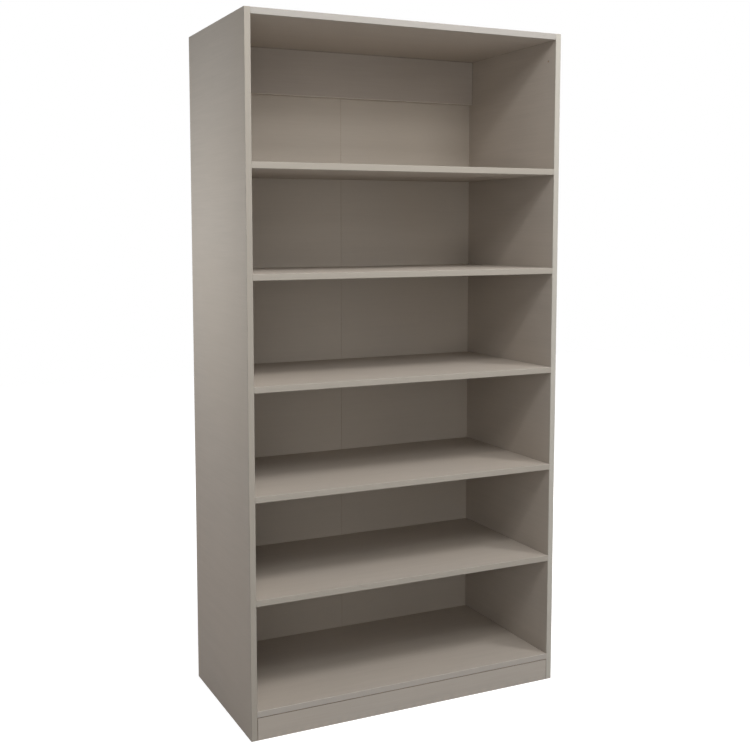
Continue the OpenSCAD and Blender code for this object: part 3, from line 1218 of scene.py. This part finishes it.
@dataclass
class Caps:
    """Cover caps with a rolled rim, a shallow dish and a cross-shaped stub, in millimetres.

    The stub is given by its arms' length and width and by its depth.
    """

    node: str = "cam_caps"
    radius: float = 9.0
    thick: float = 0.8
    stub: tuple[float, float, float] = (5.6, 1.0, 1.9)
    sides: int = 40

    def rings(self) -> list[Ring]:
        """Draws the cap's outline over the rim and down into the dish.

        Returns:
            The rings from the board's face outwards.
        """
        r, t = self.radius, self.thick
        return [
            (0.0, r - 0.35),
            (t * 0.2, r - 0.05),
            (t * 0.5, r - 0.05),
            (t * 0.85, r - 0.35),
            (t, r - 0.8),
            (t, r - 1.3),
            (t * 0.8, r - 1.8),
            (t * 0.75, r * 0.4),
            (t * 0.8, 0.6),
        ]

    def dress(self) -> None:
        """Builds the caps in the place of the CAD node."""
        shell = Shell()
        length, width, depth = self.stub
        down = Vector((0, 0, -1))
        for solid in solids(self.node):
            middle = solid.centre()
            seat = Vector((middle.x, middle.y, solid.low.z + self.thick * MM))
            place = axes_at(seat, down, Vector((0, 1, 0)))
            shell.turned(place, self.rings(), self.sides)
            shell.prism(place, cross_outline(length / 2, width / 2), -depth, 0.0)
        piece = shell.piece("cam_caps_dished", "cap_plastic", CAP.material("cap_plastic"))
        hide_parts(self.node)


@dataclass
class CamLocks:
    """Cam drums, each with a raised arrow that shows where its bolt comes in.

    The arrow is given by its distance from the middle, half its width and its length, in
    millimetres.
    """

    node: str = "cam_locks"
    bolts: str = "cam_bolts"
    arrow: tuple[float, float, float] = (4.2, 1.3, 1.8)
    relief: float = 0.15

    def dress(self) -> None:
        """Dresses the drums and adds the arrows on their faces."""
        finish = ZINC.material("zinc")
        dress(self.node, finish)
        bolts = [solid.centre() for solid in solids(self.bolts)]
        shell = Shell()
        reach, half, length = self.arrow
        outline = [(reach + length, 0.0), (reach, half), (reach, -half)]
        for drum in solids(self.node):
            middle = drum.centre()
            bolt = min(bolts, key=lambda b: (b - middle).length)
            lean = middle - bolt
            lean.x = 0.0
            axis = max((Axis.Y, Axis.Z), key=lambda a: abs(lean[a.value]))
            sign = math.copysign(1, lean[axis.value])
            open_side = Vector([sign * float(a is axis) for a in Axis])
            face = middle.copy()
            face[axis.value] = (drum.high if sign > 0 else drum.low)[axis.value]
            outward = Vector((math.copysign(1, middle.x), 0, 0))
            place = axes_at(face, open_side, open_side.cross(outward))
            shell.prism(place, outline, 0.0, self.relief)
        shell.piece("cam_arrows", "zinc", finish)


@dataclass(frozen=True)
class Lamp:
    """A square soft lamp aimed at a point."""

    name: str
    place: Point
    target: Point
    size: float
    power: float
    tint: Colour = (1.0, 1.0, 1.0)

    def add(self) -> None:
        """Adds the lamp to the scene."""
        data = bpy.data.lights.new(self.name, "AREA")
        data.shape = "SQUARE"
        data.size = self.size
        data.energy = self.power
        data.color = self.tint
        lamp = bpy.data.objects.new(self.name, data)
        lamp.location = self.place
        aim = Vector(self.target) - Vector(self.place)
        lamp.rotation_euler = aim.to_track_quat("-Z", "Y").to_euler()
        bpy.context.scene.collection.objects.link(lamp)


@dataclass(frozen=True)
class Viewpoint:
    """Camera of the photographed view, in pixels of its square frame."""

    place: Point
    turn: float
    tilt: float
    roll: float
    focal: float
    centre: tuple[float, float]
    pixels: int = 750
    sensor: float = 36.0

    def add(self) -> None:
        """Adds the camera and makes it the scene's own."""
        data = bpy.data.cameras.new("camera")
        data.sensor_width = self.sensor
        data.lens = self.focal / self.pixels * self.sensor
        data.shift_x = (self.pixels / 2 - self.centre[0]) / self.pixels
        data.shift_y = (self.centre[1] - self.pixels / 2) / self.pixels
        camera = bpy.data.objects.new("camera", data)
        camera.matrix_world = Matrix.Translation(self.place) @ self._axes().to_4x4()
        bpy.context.scene.collection.objects.link(camera)
        bpy.context.scene.camera = camera

    def _axes(self) -> Matrix:
        """Turns the level camera to the photographed view.

        Returns:
            The camera's right, up and back directions as columns.
        """
        level = Matrix(((1, 0, 0), (0, 0, -1), (0, 1, 0)))
        rows = (
            Matrix.Rotation(self.roll, 3, "Z")
            @ Matrix.Rotation(self.tilt, 3, "X")
            @ level
            @ Matrix.Rotation(self.turn, 3, "Z")
        )
        return Matrix((rows[0], -rows[1], -rows[2])).transposed()


@dataclass(frozen=True)
class Studio:
    """Pale floor, white surroundings and soft lamps."""

    floor_size: float = 14.0
    floor_tint: Colour = (0.5, 0.5, 0.5)
    floor_glow: tuple[float, float] = (0.8, 1.0)
    floor_fade: tuple[float, float] = (0.7, 2.2)
    floor_rough: float = 0.9
    ambient: float = 0.05
    lamps: tuple[Lamp, ...] = ()

    def add(self) -> None:
        """Adds the floor, the world and the lamps."""
        self._floor()
        self._world()
        for lamp in self.lamps:
            lamp.add()
            log.info("lamp %s", lamp.name)

    def _floor(self) -> None:
        """Adds a floor that looks white to the camera and keeps the object's shadow."""
        half = self.floor_size / 2
        mesh = bpy.data.meshes.new("floor")
        corners = [(-half, -half, 0), (half, -half, 0), (half, half, 0), (-half, half, 0)]
        mesh.from_pydata(corners, [], [(0, 1, 2, 3)])
        floor = bpy.data.objects.new("floor", mesh)
        shading = Shading.of("floor")
        place = shading.position()
        x, y = (shading.coordinate(place, axis) for axis in (Axis.X, Axis.Y))
        away = (x * x + y * y).root().ramp(*self.floor_fade)
        near, far = ((level,) * 3 for level in self.floor_glow)
        glow = shading.backdrop((0.0, 0.0, 0.0), shading.mix(away, near, far))
        mesh.materials.append(
            shading.surface(
                Base_Color=self.floor_tint,
                Roughness=self.floor_rough,
                Specular_IOR_Level=0.0,
                Emission_Color=glow,
                Emission_Strength=1.0,
            )
        )
        bpy.context.scene.collection.objects.link(floor)

    def _world(self) -> None:
        """Sets an even ambient light that looks white to the camera and in reflections."""
        world = bpy.data.worlds.new("studio")
        shading = Shading(world)
        colour = shading.backdrop((self.ambient,) * 3, (1.0, 1.0, 1.0))
        background = shading.node("ShaderNodeBackground", None, {"Color": colour, "Strength": 1.0})
        shading.node("ShaderNodeOutputWorld", None, {"Surface": background.outputs[0]})
        bpy.context.scene.world = world


# Fitted to the photographed edges. The shift is no larger than they need.
VIEW = Viewpoint(
    place=(-1.46042, -2.86372, 1.39571),
    turn=0.424147,
    tilt=0.0919844,
    roll=-0.0040967,
    focal=1054.48,
    centre=(324.203, 330.000),
)
AIM = (0.0, 0.0, 1.0)
# The powers, in watts, follow the photographed shading.
STUDIO = Studio(
    lamps=(
        Lamp("key_right", (1.9, -2.0, 3.6), AIM, 0.4, 38.85),
        Lamp("key_middle", (-0.6, -2.15, 3.3), AIM, 0.3, 20.65),
        Lamp("key_left", (-1.2, -2.6, 3.0), AIM, 0.45, 12.34),
        Lamp("overhead", (0.0, -1.6, 3.2), (0.0, -0.5, 0.0), 2.0, 20.60),
        Lamp("fill_right", (0.9, -2.4, 2.6), AIM, 0.9, 13.99),
        Lamp("low_right", (2.2, -2.2, 1.4), AIM, 1.0, 4.01),
        Lamp("fill_left", (-2.0, -3.0, 1.5), AIM, 1.6, 17.62),
        Lamp("fill_front", (0.0, -3.4, 1.2), AIM, 1.4, 9.01),
        Lamp("side_foot", (-1.3, 0.2, 0.45), (0.0, 0.2, 0.45), 0.4, 0.72, (1.0, 0.82, 0.74)),
        Lamp("side_low", (-1.3, 0.2, 1.35), (0.0, 0.2, 1.35), 0.4, 3.56, (0.945, 0.985, 1.0)),
        Lamp("side_high", (-1.2, 0.1, 1.5), (0.0, 0.1, 1.5), 0.3, 1.07, (0.96, 0.975, 1.0)),
        Lamp("rear", (1.4, 3.0, 2.4), AIM, 1.6, 41.80),
        Lamp("right", (3.0, 0.9, 2.0), AIM, 1.4, 31.35),
    ),
)


class Part(Protocol):
    """Anything that dresses its own nodes."""

    def dress(self) -> None:
        """Dresses the nodes, or builds finer pieces in their place."""


def main() -> None:
    """Dresses the unit and adds the studio and the camera."""
    logging.basicConfig(level=logging.INFO, format="%(message)s")
    bpy.context.scene.view_settings.view_transform = "Standard"
    parts: list[Part] = [
        Side("side_left"),
        Side("side_right", band=RIGHT_LIT_BAND),
        LyingBoard("top_panel", "top_edge", band=TOP_LIT_BAND),
        LyingBoard("bottom_panel", "bottom_edge", band=BOTTOM_LIT_BAND),
        *(LyingBoard(f"shelf_{n}", f"shelf_{n}_edge") for n in range(1, 6)),
        StandingBoard("plinth_front", finish=PLINTH_SHADED_BOARD),
        StandingBoard("plinth_rear"),
        StandingBoard("top_rail", "rail_edge", finish=RAIL_SHADED_BOARD, band=RAIL_UNDERSIDE_LIT_BAND),
        FoldingBack(),
        CamLocks(),
        CamBolts(),
        Caps(),
        Dowels(),
        Nails(),
    ]
    for part in parts:
        part.dress()
    STUDIO.add()
    VIEW.add()


if __name__ == "__main__":
    main()
